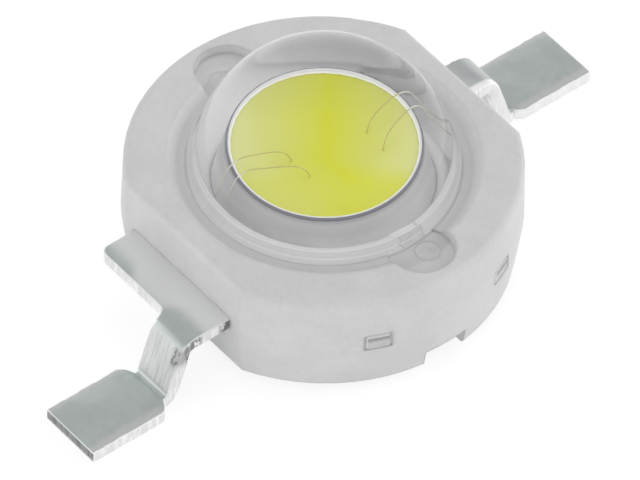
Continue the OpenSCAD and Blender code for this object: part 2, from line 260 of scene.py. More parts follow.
def white_moulding(colours):
    """Matt-satin white moulding with faint flow marks and a fine mould texture. Painted light makes it
    brightest in the well and in the reliefs round the tie bars, and painted shade makes it dimmer in the
    groove, in the pockets and where the column stands."""
    b = new_material("white_moulding")
    place = b.place()
    radius, z = b.from_axis(place), b.part(place, 2)
    cloud = b.noise(place, 0.9, 3.0, 0.55, 0.4)
    speck = b.noise(place, 9.0, 4.0, 0.6)
    grain = b.noise(place, 42.0, 2.0, 0.5)
    tint = b.step(cloud, 0.3, 0.7) * 0.6 + b.step(speck, 0.35, 0.7) * 0.4
    colour = b.blend(tint, rgb(colours.moulding_shade), rgb(colours.moulding))
    # Painted shade: the groove round the dome and the pockets in it are dimmer
    groove = b.band(radius, GROOVE_IN, GROOVE_OUT) * (1 - b.step(z, *GROOVE_RISE))
    colour = b.blend(groove * (0.26 + cloud * 0.5), colour, rgb(colours.groove))
    # Painted light: the well is whitened, most at its bottom; its upright walls higher up get little of it
    well = (1 - b.step(radius, *WELL_EDGE)) * (1 - b.step(z, *WELL_RISE) * 0.7)
    upright = 1 - b.step(b.part(b.facing(), 2), 0.3, 0.7)
    colour = b.blend(well * (1 - upright * b.step(z, *WELL_WALL) * 0.8), colour, PAINTED_LIGHT_WHITE)
    # Painted shade: a dark line round the foot of the column
    foot = (1 - b.step(radius, *COLUMN_FOOT)) * (1 - b.step(z, *COLUMN_FOOT_RISE))
    colour = b.blend(foot * 0.4, colour, rgb(colours.shadow_line))
    # Painted light: the reliefs round the tie bars are whitened against the shade in them
    relief = b.step(abs(b.part(place, 1)), *RELIEF_ACROSS) * (1 - b.step(radius, *RELIEF_DEPTH))
    relief = relief * b.band(z, RELIEF_LOW, RELIEF_HIGH)
    colour = b.blend(relief * 0.9, colour, PAINTED_LIGHT_WHITE)
    return b.finish(b.surface(
        Base_Color=colour, Roughness=0.42 + speck * 0.16,
        Normal=b.bump(grain * 0.5 + speck, 0.25, normal=b.soft_edges(0.12))))


def attach_silver(colours):
    """Silver-filled die attach: cloudy tone, fine lines and small dents."""
    b = new_material("attach_silver")
    place = b.place()
    cloud = b.noise(place, 1.6, 4.0, 0.6, 0.3)
    lines = b.streaks(place, (2.0, 40.0, 40.0), 2.0, 0.5)
    dents = b.noise(place, 14.0, 3.0, 0.55)
    tone = b.blend(b.step(cloud, 0.3, 0.72), rgb(colours.slug_shade), rgb(colours.slug))
    return b.finish(b.surface(
        Base_Color=tone, Metallic=1.0, Roughness=0.45 + cloud * 0.12 + lines * 0.08,
        Normal=b.bump(dents + lines * 0.4, 0.35)))


def slug_silver(colours):
    """Plated slug: bright coined rim with a painted shadow line outside it, and a column with fine turning
    lines, painted darker towards its top as shade under the rim."""
    b = new_material("slug_silver")
    place = b.place()
    radius, z = b.from_axis(place), b.part(place, 2)
    cloud = b.noise(place, 1.6, 4.0, 0.6, 0.3)
    lines = b.streaks(place, (1.5, 1.5, 40.0), 2.0, 0.5)
    column = b.blend(cloud, rgb(colours.slug_shade), rgb(colours.slug))
    # Painted shade: the column darkens towards its top, with a painted shadow just under the rim
    column = b.blend(b.step(z, *COLUMN_FADE) * 0.62, column, COLUMN_PAINTED_SHADE)
    column = b.blend(b.step(z, *COLUMN_TOP) * 0.4, column, UNDER_RIM_SHADOW)
    rim = b.step(z + (cloud - 0.5) * 0.01, *RIM_TOP)
    tone = b.blend(rim, column, COINED)
    # Painted shadow: a dark line outside the rim
    outside = b.step(radius, *RIM_OUTSIDE) * b.step(z, *RIM_OUTSIDE_RISE)
    tone = b.blend(outside * 0.95, tone, rgb(colours.shadow_line))
    return b.finish(b.surface(
        Base_Color=tone, Metallic=0.45 + rim * 0.1 * (1 - outside),
        Roughness=rim * 0.3 + (1 - rim) * (0.4 + lines * 0.12), Normal=b.bump(lines, 0.2)))


def lead_regions(b):
    """Masks and patterns of the leads, from 0 to 1. Both leads share the finish, the wide one at negative x.
    Reach is the distance from the middle along the leads, and off the distance across."""
    place, facing = b.place(), b.facing()
    x, y, z = (b.part(place, axis) for axis in range(3))
    at = SimpleNamespace(y=y, z=z, reach=abs(x), off=abs(y), ahead=abs(b.part(facing, 0)))
    at.wide = 1 - b.step(x, -1.0, 1.0)
    at.pad = 1 - b.step(b.from_axis(place), *PAD_END)
    at.flat = b.step(abs(b.part(facing, 2)), 0.12, 0.3)
    at.neck = b.step(at.reach, *NECK_REACH) * b.band(z, NECK_LOW, NECK_HIGH)
    at.neck_bend = at.neck * at.wide * b.step(z, *NECK_BEND)
    at.side = (1 - at.flat) * (1 - at.neck * b.step(at.ahead, 0.5, 0.8))
    skewed = at.reach + b.step(at.off, *ROOT_SKEW) * 0.25
    at.root = b.step(z, *ROOT_TOP) * (1 - b.step(skewed, *ROOT_END)) * (1 - at.pad)
    # The narrow lead's root and upper bend, which take a painted shade
    at.far_root = (1 - at.wide) * b.step(z, *FAR_ROOT_RISE) * (1 - at.pad)
    at.cloud = b.noise(place, 1.1, 4.0, 0.6, 0.3)
    at.dents = b.noise(place, 9.0, 3.0, 0.55)
    at.shear = b.streaks(place, (9.0, 9.0, 1.6), 4.0, 0.65)
    at.drawn = b.streaks(place, (1.2, 16.0, 1.2), 3.0, 0.6)
    at.cracks = b.step(b.streaks(place, (8.0, 8.0, 6.0), 6.0, 0.75), 0.44, 0.52)
    torn = b.band(at.reach, BEND_IN, BEND_OUT) * b.step(z, *BEND_RISE)
    torn = torn + (1 - b.step(at.reach, *CRACKED_ROOT))
    at.torn = at.cracks * torn * at.wide * (1 - b.step(at.ahead, 0.5, 0.7))
    return at


def lead_faces(b, at, colours):
    """Colour of the rolled faces: cloudy plating, satin roots, pads whitened as painted light, drawn lines
    down the necks, which are painted darker towards their tops as shade, a painted shade on the narrow
    lead's root, a worn line on the narrow neck, a frayed edge at the wide neck's bend and pale borders round
    the feet, painted highlights along their edges."""
    tone = b.blend(b.step(at.cloud, 0.35, 0.68), rgb(colours.lead_shade), rgb(colours.lead))
    tone = b.blend(at.root * at.wide * 0.85, tone, grey(0.82))
    # Painted light: the pads in the well are near white so that they read as lit
    tone = b.blend(at.pad, tone, grey(0.98))
    # Painted shade: the necks are darker towards their upper bends
    tone = b.blend(at.neck * 0.9, tone, b.blend(b.step(at.z, *NECK_FADE), grey(0.79), grey(0.68)))
    tone = b.blend(at.neck * (1 - b.step(at.drawn, 0.4, 0.56)) * 0.45, tone, DRAWN_LINES)
    # Painted shade: the narrow lead's root and upper bend are darker
    tone = b.blend(at.far_root * 0.9, tone, FAR_ROOT_SHADE)
    worn = (1 - at.wide) * b.band(at.y, WORN_LEFT, WORN_RIGHT)
    worn = worn * b.step(at.z, *WORN_RISE) * b.step(at.reach, *WORN_REACH)
    tone = b.blend(worn, tone, grey(0.97))
    # Painted highlight: pale bands along the feet's edges
    edge_highlight = b.step(abs(at.off - FOOT_MIDDLE) + (at.dents - 0.5) * 0.2, *FOOT_BORDER)
    edge_highlight = edge_highlight * b.step(at.reach, *FOOT_REACH) * (1 - b.step(at.z, *FOOT_TOP))
    tone = b.blend(edge_highlight * 0.8, tone, grey(0.92))
    frayed = at.neck_bend * b.step(at.off + (at.dents - 0.5) * 0.3, *FRAYED)
    return b.blend(frayed * (0.3 + at.cracks * 0.55), tone, rgb(colours.torn))


def lead_sides(b, at, colours):
    """Colour of the sheared sides: streaks across the thickness, calmer on the narrow lead, a dark patch at
    the wide neck's bend, cracks beside the bends and dark cut ends."""
    streak = b.blend(b.step(at.shear, 0.4, 0.62), rgb(colours.sheared_shade), rgb(colours.sheared))
    streak = b.blend((1 - at.wide) * 0.6, streak, rgb(colours.sheared))
    streak = b.blend(at.neck_bend * 0.7, streak, grey(0.34))
    tip = b.step(at.ahead, 0.5, 0.8) * b.step(at.reach, *TIP_REACH) * b.step(at.z, *TIP_RISE)
    tip = tip * (0.72 + b.step(at.shear, 0.4, 0.6) * 0.2)
    return b.blend(at.torn * 0.85 + tip, streak, rgb(colours.torn))


def lead_silver(colours):
    """Plated lead frame: smooth rolled faces with small dents, and rough sheared sides."""
    b = new_material("lead_silver")
    at = lead_regions(b)
    colour = b.blend(at.side, lead_faces(b, at, colours), lead_sides(b, at, colours))
    rough = at.flat * (0.27 + at.cloud * 0.12) + (1 - at.flat) * (0.34 + at.shear * 0.2) + at.root * 0.1
    height = (1 - at.side) * (at.dents + at.neck * at.drawn * 2.0)
    height = height + at.side * (at.shear * 1.5 + at.torn * 3.0)
    return b.finish(b.surface(
        Base_Color=colour, Metallic=1 - at.root * 0.55 - at.neck * 0.5 - at.far_root * 0.5 - at.pad * 0.4,
        Roughness=rough, Normal=b.bump(height, 0.4)))


def cut_bar(colours):
    """Sheared end of a tie bar: dull and streaked, with a painted shadow along its upper edge and painted
    light on its sides.
    """
    b = new_material("cut_bar")
    place, facing = b.place(), b.facing()
    shear = b.streaks(place, (9.0, 9.0, 2.0), 4.0, 0.65)
    tone = b.blend(shear, rgb(colours.groove), rgb(colours.moulding_shade))
    # Painted shadow along the bar's upper edge
    top_shadow = b.step(b.part(place, 2) + shear * 0.12, *BAR_TOP_SHADOW)
    tone = b.blend(top_shadow * 0.6, tone, rgb(colours.torn))
    # Painted light: the bar's sides are near white against the shade in the gap round it
    outwards = b.part(facing, 0) * b.part(place, 0) + b.part(facing, 1) * b.part(place, 1)
    tone = b.blend(b.step(outwards / b.from_axis(place), 0.5, 0.8), grey(0.95), tone)
    return b.finish(b.surface(
        Base_Color=tone, Metallic=0.1, Roughness=0.45 + shear * 0.2, Normal=b.bump(shear, 0.5, 0.02)))


def phosphor(colours):
    """Phosphor in silicone: deep yellow over the chip and along a diagonal, paler to both sides, with a
    painted shade towards both ends of the diagonal, and darker at the rim."""
    b = new_material("phosphor")
    place = b.place()
    x, y = b.part(place, 0), b.part(place, 1)
    # The diagonal is turned 39 degrees. Across it, in millimetres: the deep part's middle, how far that
    # shifts, and how far from it the fill is wholly pale
    cosine, sine = 0.777, 0.629
    middle, shift, pale_at = 0.05, 0.45, 1.3
    across, along = x * cosine - y * sine, x * sine + y * cosine
    cloud = b.noise(place, 1.5, 3.0, 0.5, 0.5)
    fine = b.noise(place, 30.0, 2.0, 0.5)
    low = 1 - b.step(along, *FILL_SHIFT)
    away = abs(across - middle - low * shift)
    pale = away * (1 - low * 0.65) / pale_at + (cloud - 0.5) * 0.25 + 0.02
    colour = b.blend(pale, rgb(colours.phosphor), rgb(colours.phosphor_pale))
    # Painted shade: darker towards the far end of the diagonal, under the back of the rim, and a little at
    # the near end
    end_shade = b.step(along, *FILL_FAR) * 0.22 + (1 - b.step(along, *FILL_NEAR)) * 0.09
    colour = b.blend(end_shade, colour, rgb(colours.phosphor_edge_and_shade))
    colour = b.blend(b.step(b.from_axis(place), *FILL_EDGE) * 0.7, colour, rgb(colours.phosphor_edge_and_shade))
    return b.finish(b.surface(
        Base_Color=colour, Specular_IOR_Level=0.1, Roughness=0.6 + fine * 0.15, Normal=b.bump(fine, 0.15)))


def gold(colours):
    """Drawn gold wire, with painted light that makes it paler beyond the cup's rim."""
    b = new_material("gold_wire")
    place = b.place()
    marks = b.noise(place, 30.0, 2.0, 0.5)
    tone = b.blend(marks, rgb(colours.gold_shade), rgb(colours.gold))
    # Painted light: the wire is paler beyond the rim
    tone = b.blend(b.step(b.from_axis(place), *WIRE_RIM) * 0.9, tone, WIRE_PAINTED_LIGHT)
    return b.finish(b.surface(Base_Color=tone, Metallic=0.6, Roughness=0.35 + marks * 0.12))


def chip_face(colours):
    """Polished semiconductor with a fine frosted top."""
    b = new_material("chip_face")
    frost = b.noise(b.place(), 26.0, 3.0, 0.6)
    tone = b.blend(frost, rgb(colours.chip_shade), rgb(colours.chip))
    return b.finish(b.surface(Base_Color=tone, Roughness=0.25 + frost * 0.2))


def cured_silicone(colours):
    """Milky silicone in a filling hole and its channel, painted darker like the shaded pocket and lighter
    towards the well, painted light like the well.
    """
    b = new_material("cured_silicone")
    place = b.place()
    cloud = b.noise(place, 6.0, 3.0, 0.5)
    # Painted shade as in the pocket round it, and painted light inside the well's edge
    tone = b.blend(cloud, rgb(colours.groove), rgb(colours.moulding))
    tone = b.blend(b.step(b.from_axis(place), *WELL_EDGE), grey(0.74), tone)
    return b.finish(b.surface(Base_Color=tone, Roughness=0.3 + cloud * 0.15))


def clear(name, colour, index):
    """Clear medium: refracts what is looked at and lets the lamps reach what lies inside."""
    b = new_material(name)
    passing = b.larger(b.ray("Is Shadow Ray"), b.ray("Is Diffuse Ray"))
    glass = b.surface(Base_Color=rgb(colour), Roughness=0.0, Transmission_Weight=1.0, IOR=index)
    open_air = b.node("ShaderNodeBsdfTransparent", None, {"Color": rgb(colour)})
    return b.finish(b.mix(passing, glass, open_air))


# Surfaces

def sheet(name, *grids, wrap_u=False, wrap_v=False, sharp=35):
    """Mesh object from grids of points in metres, each indexed [u, v, xyz]. Rows that fall on one point
    are merged, so poles and seams are closed, and faces are turned outwards."""
    corners, quads, before = [], [], 0
    for points in grids:
        nu, nv = points.shape[:2]
        u, v = np.meshgrid(np.arange(nu if wrap_u else nu - 1), np.arange(nv if wrap_v else nv - 1),
                           indexing="ij")
        u_next, v_next = (u + 1) % nu, (v + 1) % nv
        quads.append(before + np.stack([u * nv + v, u_next * nv + v, u_next * nv + v_next, u * nv + v_next],
                                       -1).reshape(-1, 4))
        corners.append(points.reshape(-1, 3))
        before += nu * nv
    mesh = bpy.data.meshes.new(name)
    mesh.from_pydata(np.concatenate(corners).tolist(), [], np.concatenate(quads).tolist())
    work = bmesh.new()
    work.from_mesh(mesh)
    bmesh.ops.remove_doubles(work, verts=work.verts, dist=1e-8)
    bmesh.ops.dissolve_degenerate(work, edges=work.edges, dist=1e-9)
    bmesh.ops.recalc_face_normals(work, faces=work.faces)
    work.to_mesh(mesh)
    work.free()
    mesh.polygons.foreach_set("use_smooth", np.ones(len(mesh.polygons), bool))
    mesh.set_sharp_from_angle(angle=math.radians(sharp))
    made = bpy.data.objects.new(name, mesh)
    bpy.context.scene.collection.objects.link(made)
    return made


def arc(centre, radius, start, end, count):
    """Points of a circle's arc, angles in degrees: centre + radius (cos a, sin a)."""
    a = np.radians(np.linspace(start, end, count))
    return np.array(centre) + radius * np.stack([np.cos(a), np.sin(a)], -1)


def turned(profile, count):
    """Surface of revolution: a profile (r, z) carried round Z, x = r cos a, y = r sin a."""
    a = np.radians(np.arange(count) * 360 / count)[:, None]
    r, z = profile[None, :, 0], profile[None, :, 1]
    return np.stack([r * np.cos(a), r * np.sin(a), z + 0 * a], -1) * MM


def carried(section, centres, across, upwards):
    """A closed section carried along a path: point = centre + y * across + n * upwards, where the section
    holds (y, n) for each station of the path."""
    return (centres[:, None, :] + section[..., 0:1] * across[:, None, :]
            + section[..., 1:2] * upwards[:, None, :])


def closed_ends(grid):
    """The same grid with its first and last rings drawn together at their middles."""
    return np.concatenate([np.repeat(grid[:1].mean(1, keepdims=True), grid.shape[1], 1), grid,
                           np.repeat(grid[-1:].mean(1, keepdims=True), grid.shape[1], 1)])


def rounded_bar(low, high, half, over, under, count=5):
    """Cross-sections of a flat bar, one for each station: a rectangle from low to high across and half
    each way in thickness, with corners of radius over at its top and under at its bottom."""
    a = np.radians(np.linspace(0, 90, count))
    rings = []
    for side, start, radius in ((1, 0, over), (-1, 90, over), (-1, 180, under), (1, 270, under)):
        c, d = np.cos(a + np.radians(start)), np.sin(a + np.radians(start))
        edge = (high if side > 0 else low)[:, None]
        rise = 1 if start < 180 else -1
        rings.append(np.stack([edge - side * radius + radius * c[None, :],
                               (rise * (half - radius))[:, None] + radius * d[None, :]], -1))
    return np.concatenate(rings, 1)


def tube(path, width, height, count=14):
    """A wire of elliptic section along a path: its frame is the path's tangent, the level direction square
    to it, and their cross product. point = p + width cos a * side + height sin a * top."""
    tangent = np.gradient(path, axis=0)
    tangent /= np.linalg.norm(tangent, axis=1, keepdims=True)
    heading = path[-1] - path[0]
    side = np.array([-heading[1], heading[0], 0.0]) / math.hypot(heading[0], heading[1])
    side = np.repeat(side[None, :], len(path), 0)
    top = np.cross(tangent, side)
    a = np.linspace(0, 2 * np.pi, count, endpoint=False)
    section = np.stack([width[:, None] * np.cos(a), height[:, None] * np.sin(a)], -1)
    return closed_ends(carried(section, path, side, top))


# Settings

class PowerLedSizes(bpy.types.PropertyGroup):
    dome_radius: FloatProperty(name="Dome radius", description="Radius of the clear dome",
                               default=2.62 * MM, unit="LENGTH", precision=5)
    dome_centre: FloatProperty(name="Dome centre", description="Height of the dome's centre over the board",
                               default=2.5 * MM, unit="LENGTH", precision=5)
    fillet: FloatProperty(name="Fillet", description="Radius between the dome and its flange",
                          default=0.05 * MM, unit="LENGTH", precision=5)
    shell: FloatProperty(name="Shell", description="Thickness of the dome's shell",
                         default=0.62 * MM, unit="LENGTH", precision=5)
    dome_index: FloatProperty(name="Dome index", description="Refractive index of the shell", default=1.5)
    gel_index: FloatProperty(name="Silicone index", description="Refractive index of the silicone",
                             default=1.45)
    facets: IntProperty(name="Facets", description="Divisions round the dome", default=192, min=24)
    lead_edge: FloatProperty(name="Lead edge", unit="LENGTH", default=0.045 * MM, precision=5,
                             description="Radius rolled on a lead's upper edges by the press")
    wire: FloatProperty(name="Wire", description="Radius of a bond wire", default=0.0095 * MM,
                        unit="LENGTH", precision=6)


class PowerLedColours(bpy.types.PropertyGroup):
    moulding: FloatVectorProperty(name="Moulding", description="White moulding", subtype="COLOR",
                                  size=3, default=(0.665, 0.665, 0.665))
    moulding_shade: FloatVectorProperty(name="Moulding shade", description="Flow marks in the moulding",
                                        subtype="COLOR", size=3, default=(0.6, 0.6, 0.6))
    # Painted shade of the groove and the pockets, also taken by the plugs and as a tone of the tie bars'
    # ends
    groove: FloatVectorProperty(name="Groove", description="Dimmer floor of the groove and the pockets",
                                subtype="COLOR", size=3, default=(0.46, 0.46, 0.46))
    slug: FloatVectorProperty(name="Slug", description="Plating of the slug", subtype="COLOR",
                              size=3, default=(0.97, 0.97, 0.96))
    slug_shade: FloatVectorProperty(name="Slug shade", description="Column and cloudy places of the slug",
                                    subtype="COLOR", size=3, default=(0.93, 0.93, 0.94))
    # Painted shadow outside the cup's rim and round the column's foot
    shadow_line: FloatVectorProperty(name="Shadow line", description="Dark line outside the cup's rim",
                                     subtype="COLOR", size=3, default=(0.2, 0.19, 0.23))
    lead: FloatVectorProperty(name="Lead", description="Rolled faces of the leads", subtype="COLOR",
                              size=3, default=(0.78, 0.84, 0.82))
    lead_shade: FloatVectorProperty(name="Lead shade", description="Cloudy places of the leads",
                                    subtype="COLOR", size=3, default=(0.68, 0.74, 0.72))
    sheared: FloatVectorProperty(name="Sheared side", description="Bright part of the sheared sides",
                                 subtype="COLOR", size=3, default=(0.9, 0.9, 0.9))
    sheared_shade: FloatVectorProperty(name="Sheared side shade", subtype="COLOR", size=3,
                                       description="Torn part of the sheared sides",
                                       default=(0.74, 0.74, 0.74))
    torn: FloatVectorProperty(name="Torn", description="Dark cracks at the bends", subtype="COLOR",
                              size=3, default=(0.16, 0.16, 0.16))
    phosphor: FloatVectorProperty(name="Phosphor", description="Phosphor at its deepest", subtype="COLOR",
                                  size=3, default=(0.7, 0.725, 0.035))
    phosphor_pale: FloatVectorProperty(name="Pale phosphor", description="Phosphor towards the sides",
                                       subtype="COLOR", size=3, default=(0.72, 0.745, 0.3))
    # Dark line where the phosphor meets the rim, also the painted shade at the ends of the diagonal
    phosphor_edge_and_shade: FloatVectorProperty(name="Phosphor edge", description="Thin line where it meets the rim",
                                       subtype="COLOR", size=3, default=(0.36, 0.38, 0.14))
    gold: FloatVectorProperty(name="Gold", description="Bond wire", subtype="COLOR",
                              size=3, default=(0.72, 0.66, 0.26))
    gold_shade: FloatVectorProperty(name="Gold shade", description="Bond wire, darker", subtype="COLOR",
                                    size=3, default=(0.62, 0.56, 0.2))
    chip: FloatVectorProperty(name="Chip", description="Chip's top", subtype="COLOR",
                              size=3, default=(0.3, 0.34, 0.42))
    chip_shade: FloatVectorProperty(name="Chip shade", description="Chip's top, darker", subtype="COLOR",
                                    size=3, default=(0.2, 0.23, 0.3))
    clear: FloatVectorProperty(name="Clear", description="Clear shell and silicone", subtype="COLOR",
                               size=3, default=(1.0, 1.0, 1.0))


class PowerLedStage(bpy.types.PropertyGroup):
    azimuth: FloatProperty(name="Azimuth", description="Camera's turn about Z", subtype="ANGLE",
                           default=-0.703298)
    elevation: FloatProperty(name="Elevation", description="Camera's height over the horizon",
                             subtype="ANGLE", default=0.819473)
    roll: FloatProperty(name="Roll", description="Camera's roll", subtype="ANGLE", default=0.032942)
    distance: FloatProperty(name="Distance", description="Camera to target", unit="LENGTH", default=0.21948)
    target: FloatVectorProperty(name="Target", description="Point at the picture's middle", subtype="XYZ",
                                size=3, default=(0.000093, 0.000154, 0.0), precision=6)
    lens: FloatProperty(name="Lens", description="Focal length in millimetres", default=612.76)
    sky: FloatProperty(name="Sky", description="Strength of the world overhead", default=0.5)
    horizon: FloatProperty(name="Horizon", description="Strength of the world at the horizon", default=1.0)


class PowerLedSettings(bpy.types.PropertyGroup):
    sizes: PointerProperty(type=PowerLedSizes)
    colours: PointerProperty(type=PowerLedColours)
    stage: PointerProperty(type=PowerLedStage)


# Operators

def dress(nodes, material):
    """Gives CAD nodes a finish."""
    for name in nodes:
        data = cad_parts[name].data
        data.materials.clear()
        data.materials.append(material)


def place_piece(made, material, replaced=()):
    """Gives a new piece its finish and its body, and hides the nodes that it stands for."""
    made.data.materials.append(material)
    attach(made, "root")
    if replaced:
        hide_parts(*replaced)


class POWERLED_OT_moulding(bpy.types.Operator):
    """Finishes the moulded ring"""
    bl_idname = "powerled.moulding"
    bl_label = "Moulded ring"

    def execute(self, context):
        dress(["housing"], white_moulding(context.scene.power_led.colours))
        return {"FINISHED"}


class POWERLED_OT_slug(bpy.types.Operator):
    """Finishes the slug and its cup"""
    bl_idname = "powerled.slug"
    bl_label = "Slug"

    def execute(self, context):
        colours = context.scene.power_led.colours
        dress(["heat_slug"], slug_silver(colours))
        dress(["die_attach"], attach_silver(colours))
        return {"FINISHED"}


class POWERLED_OT_leads(bpy.types.Operator):
    """Builds the two formed leads and finishes the cut tie bars"""
    bl_idname = "powerled.leads"
    bl_label = "Leads and tie bars"

    # Piece, node, root's width, where the root ends, shift of the foot, and side
    kinds = (("wide_strip", "wide_lead", 3.06, 4.47, 1.05, -1),
             ("narrow_strip", "narrow_lead", 2.5, 4.1, 0.98, 1))
    # Along the strip: where it starts, where its fine stations start, the bends and the tip
    start_x, fine_x, bend_x, tip_x = 2.4, 3.9, 4.47, 7.25
    bend, slope, tip_round = 0.12, math.radians(72), 0.04
    # Across the strip: the neck, the foot with its cut corners, and the root's corner
    neck, foot, corner, under_edge = 0.96, 1.5, 0.18, 0.02
    cut, cut_bulge = 0.24, 0.25
    # Ripple of the sheared sides, and what the press takes from the strip at the bends: it takes most a
    # little past the upper bend's start and before the lower one's end
    ripple, thinning, narrowing = 0.006, 0.05, 0.02
    past_upper, before_lower, spread = 0.14, 0.1, 0.16
    # Bonding pad: its two radii, and its span in degrees
    pad_in, pad_out, pad_span = 1.5, 2.9, 88

    def execute(self, context):
        scene = context.scene.power_led
        finish = lead_silver(scene.colours)
        for name, node, root, root_end, shift, sign in self.kinds:
            strip = self.strip(root, root_end, shift, scene.sizes.lead_edge / MM)
            turn = np.array([sign, sign, 1.0]) * MM
            made = sheet(name, strip * turn, self.pad() * turn, wrap_v=True, sharp=50)
            place_piece(made, finish, [node])
        dress(["tie_bar_1", "tie_bar_2", "tie_bar_3", "tie_bar_4"], cut_bar(scene.colours))
        return {"FINISHED"}

    def path(self):
        """Middle line of the strip in X and Z with its upward normal: level, an arc down, a straight
        slope, an arc back and the level foot, where x = centre + R cos a and z = centre + R sin a."""
        half, mid = LEAD_T / 2, self.bend + LEAD_T / 2
        high, low = LEAD_TOP - LEAD_T - self.bend, LEAD_T + self.bend
        drop = high + mid * math.cos(self.slope) - (low - mid * math.cos(self.slope))
        run = drop / math.tan(self.slope)
        foot_x = self.bend_x + 2 * mid * math.sin(self.slope) + run
        root = np.concatenate([np.linspace(self.start_x, self.fine_x, 12),
                               np.linspace(self.fine_x + 0.02, self.bend_x, 60)])
        level = np.stack([root, np.full_like(root, LEAD_TOP - half), 0 * root, 1 + 0 * root], -1)
        a = np.pi / 2 - np.linspace(0, self.slope, 25)[1:]
        upper = np.stack([self.bend_x + mid * np.cos(a), high + mid * np.sin(a), np.cos(a), np.sin(a)], -1)
        t = np.linspace(0, 1, 26)[1:-1]
        slope = upper[-1] + t[:, None] * np.array([run, -drop, 0, 0])
        a = 1.5 * np.pi - np.linspace(self.slope, 0, 25)
        lower = np.stack([foot_x + mid * np.cos(a), low + mid * np.sin(a), -np.cos(a), -np.sin(a)], -1)
        x = np.concatenate([foot_x + np.linspace(0, self.cut, 12)[1:],
                            np.linspace(foot_x + self.cut, self.tip_x - self.tip_round, 30)[1:]])
        foot = np.stack([x, np.full_like(x, half), 0 * x, 1 + 0 * x], -1)
        return np.concatenate([level, upper, slope, lower, foot]), foot_x

    def sides(self, x, corner_at, root, root_end, shift, foot_x):
        """The strip's two sides as functions of x: the root with a rounded corner, the neck with a rounded
        inner corner, and the foot with two cut corners."""
        r, inner_y = self.corner, root / 2 - self.neck
        away = np.clip(x - (root_end - r), 0, r)
        back = np.clip(x - (root_end + r), -r, 0)
        low = np.where(np.arange(len(x)) <= corner_at, -root / 2 + r - np.sqrt(r * r - away * away),
                       inner_y - r + np.sqrt(np.maximum(r * r - back * back, 0)))
        high = np.full_like(x, root / 2)
        cut = np.clip(self.cut - (x - foot_x), 0, self.cut)
        cut = cut - self.cut_bulge * self.cut * np.sin(np.pi * cut / self.cut)
        on_foot = x >= foot_x - 1e-9
        low = np.where(on_foot, shift - self.foot / 2 + cut, low)
        high = np.where(on_foot, shift + self.foot / 2 - cut, high)
        return low, high

    def strip(self, root, root_end, shift, edge):
        """Rounded bar carried along the strip's middle line between its two sides. The sides ripple as a
        sum of three sines, and the bar is slimmer at each bend by exp(-(distance / spread)^2)."""
        line, foot_x = self.path()
        corner_at = np.searchsorted(line[:, 0], root_end - 1e-6)
        line = np.concatenate([line[:corner_at], np.repeat([line[corner_at]], 2, 0), line[corner_at + 1:]])
        x = line[:, 0]
        low, high = self.sides(x, corner_at, root, root_end, shift, foot_x)
        free = (x > root_end + self.corner) * 1.0
        wave = np.sin(9.1 * x + shift * 7) + 0.7 * np.sin(23.7 * x + 1.3) + 0.5 * np.sin(41 * x + 2)
        low, high = low - self.ripple * wave * free, high + self.ripple * wave[::-1] * free
        in_bends = (np.exp(-((x - self.bend_x - self.past_upper) / self.spread) ** 2)
                    + np.exp(-((x - foot_x + self.before_lower) / self.spread) ** 2))
        half = LEAD_T / 2 * (1 - self.thinning * in_bends)
        low, high = low + self.narrowing * in_bends * free, high - self.narrowing * in_bends * free
        end = np.radians(np.linspace(0, 90, 6)[1:])
        inset = self.tip_round * (1 - np.cos(end))
        tip = np.repeat(line[-1:], len(end), 0)
        tip[:, 0] = self.tip_x - self.tip_round + self.tip_round * np.sin(end)
        line = np.concatenate([line, tip])
        low, high = np.append(low, low[-1] + inset), np.append(high, high[-1] - inset)
        half = np.append(half, half[-1] - inset)
        still = 0 * line[:, 0]
        centres = np.stack([line[:, 0], still, line[:, 1]], -1)
        upwards = np.stack([line[:, 2], still, line[:, 3]], -1)
        across = np.repeat([[0.0, 1.0, 0.0]], len(line), 0)
        bar = rounded_bar(low, high, half, edge, self.under_edge)
        return closed_ends(carried(bar, centres, across, upwards))

    def pad(self):
        """Bonding pad in the well: a rectangle between two radii carried round an arc."""
        a = np.radians(np.linspace(-self.pad_span / 2, self.pad_span / 2, 60))[:, None]
        middle = (self.pad_in + self.pad_out) / 2
        r = np.array([self.pad_in, middle, self.pad_out, self.pad_out, middle, self.pad_in])
        z = LEAD_TOP - LEAD_T * np.array([0, 0, 0, 1, 1, 1])
        return closed_ends(np.stack([r * np.cos(a), r * np.sin(a), z + 0 * a], -1))


class POWERLED_OT_chip(bpy.types.Operator):
    """Builds the phosphor's surface and finishes the chip"""
    bl_idname = "powerled.chip"
    bl_label = "Chip and phosphor"

    fill_r, fill_top, sag, crown, crown_r = 1.36, 2.6, 0.012, 0.01, 0.7
    wall = ((1.35, 2.56), (1.17, 2.1), (0, 2.1))

    def execute(self, context):
        colours = context.scene.power_led.colours
        dress(["led_chip"], chip_face(colours))
        made = sheet("phosphor_pool", turned(self.profile(), 128), wrap_u=True)
        place_piece(made, phosphor(colours), ["phosphor_fill"])
        return {"FINISHED"}

    def profile(self):
        """The fill's surface, z = top - sag (r / R)^6 + crown exp(-(r / c)^2), and then down the cup's wall
        to its floor."""
        r = np.concatenate([np.linspace(0, 1.2, 40), np.linspace(1.2, self.fill_r, 12)[1:]])
        z = self.fill_top - self.sag * (r / self.fill_r) ** 6 + self.crown * np.exp(-(r / self.crown_r) ** 2)
        return np.concatenate([np.stack([r, z], -1), self.wall])


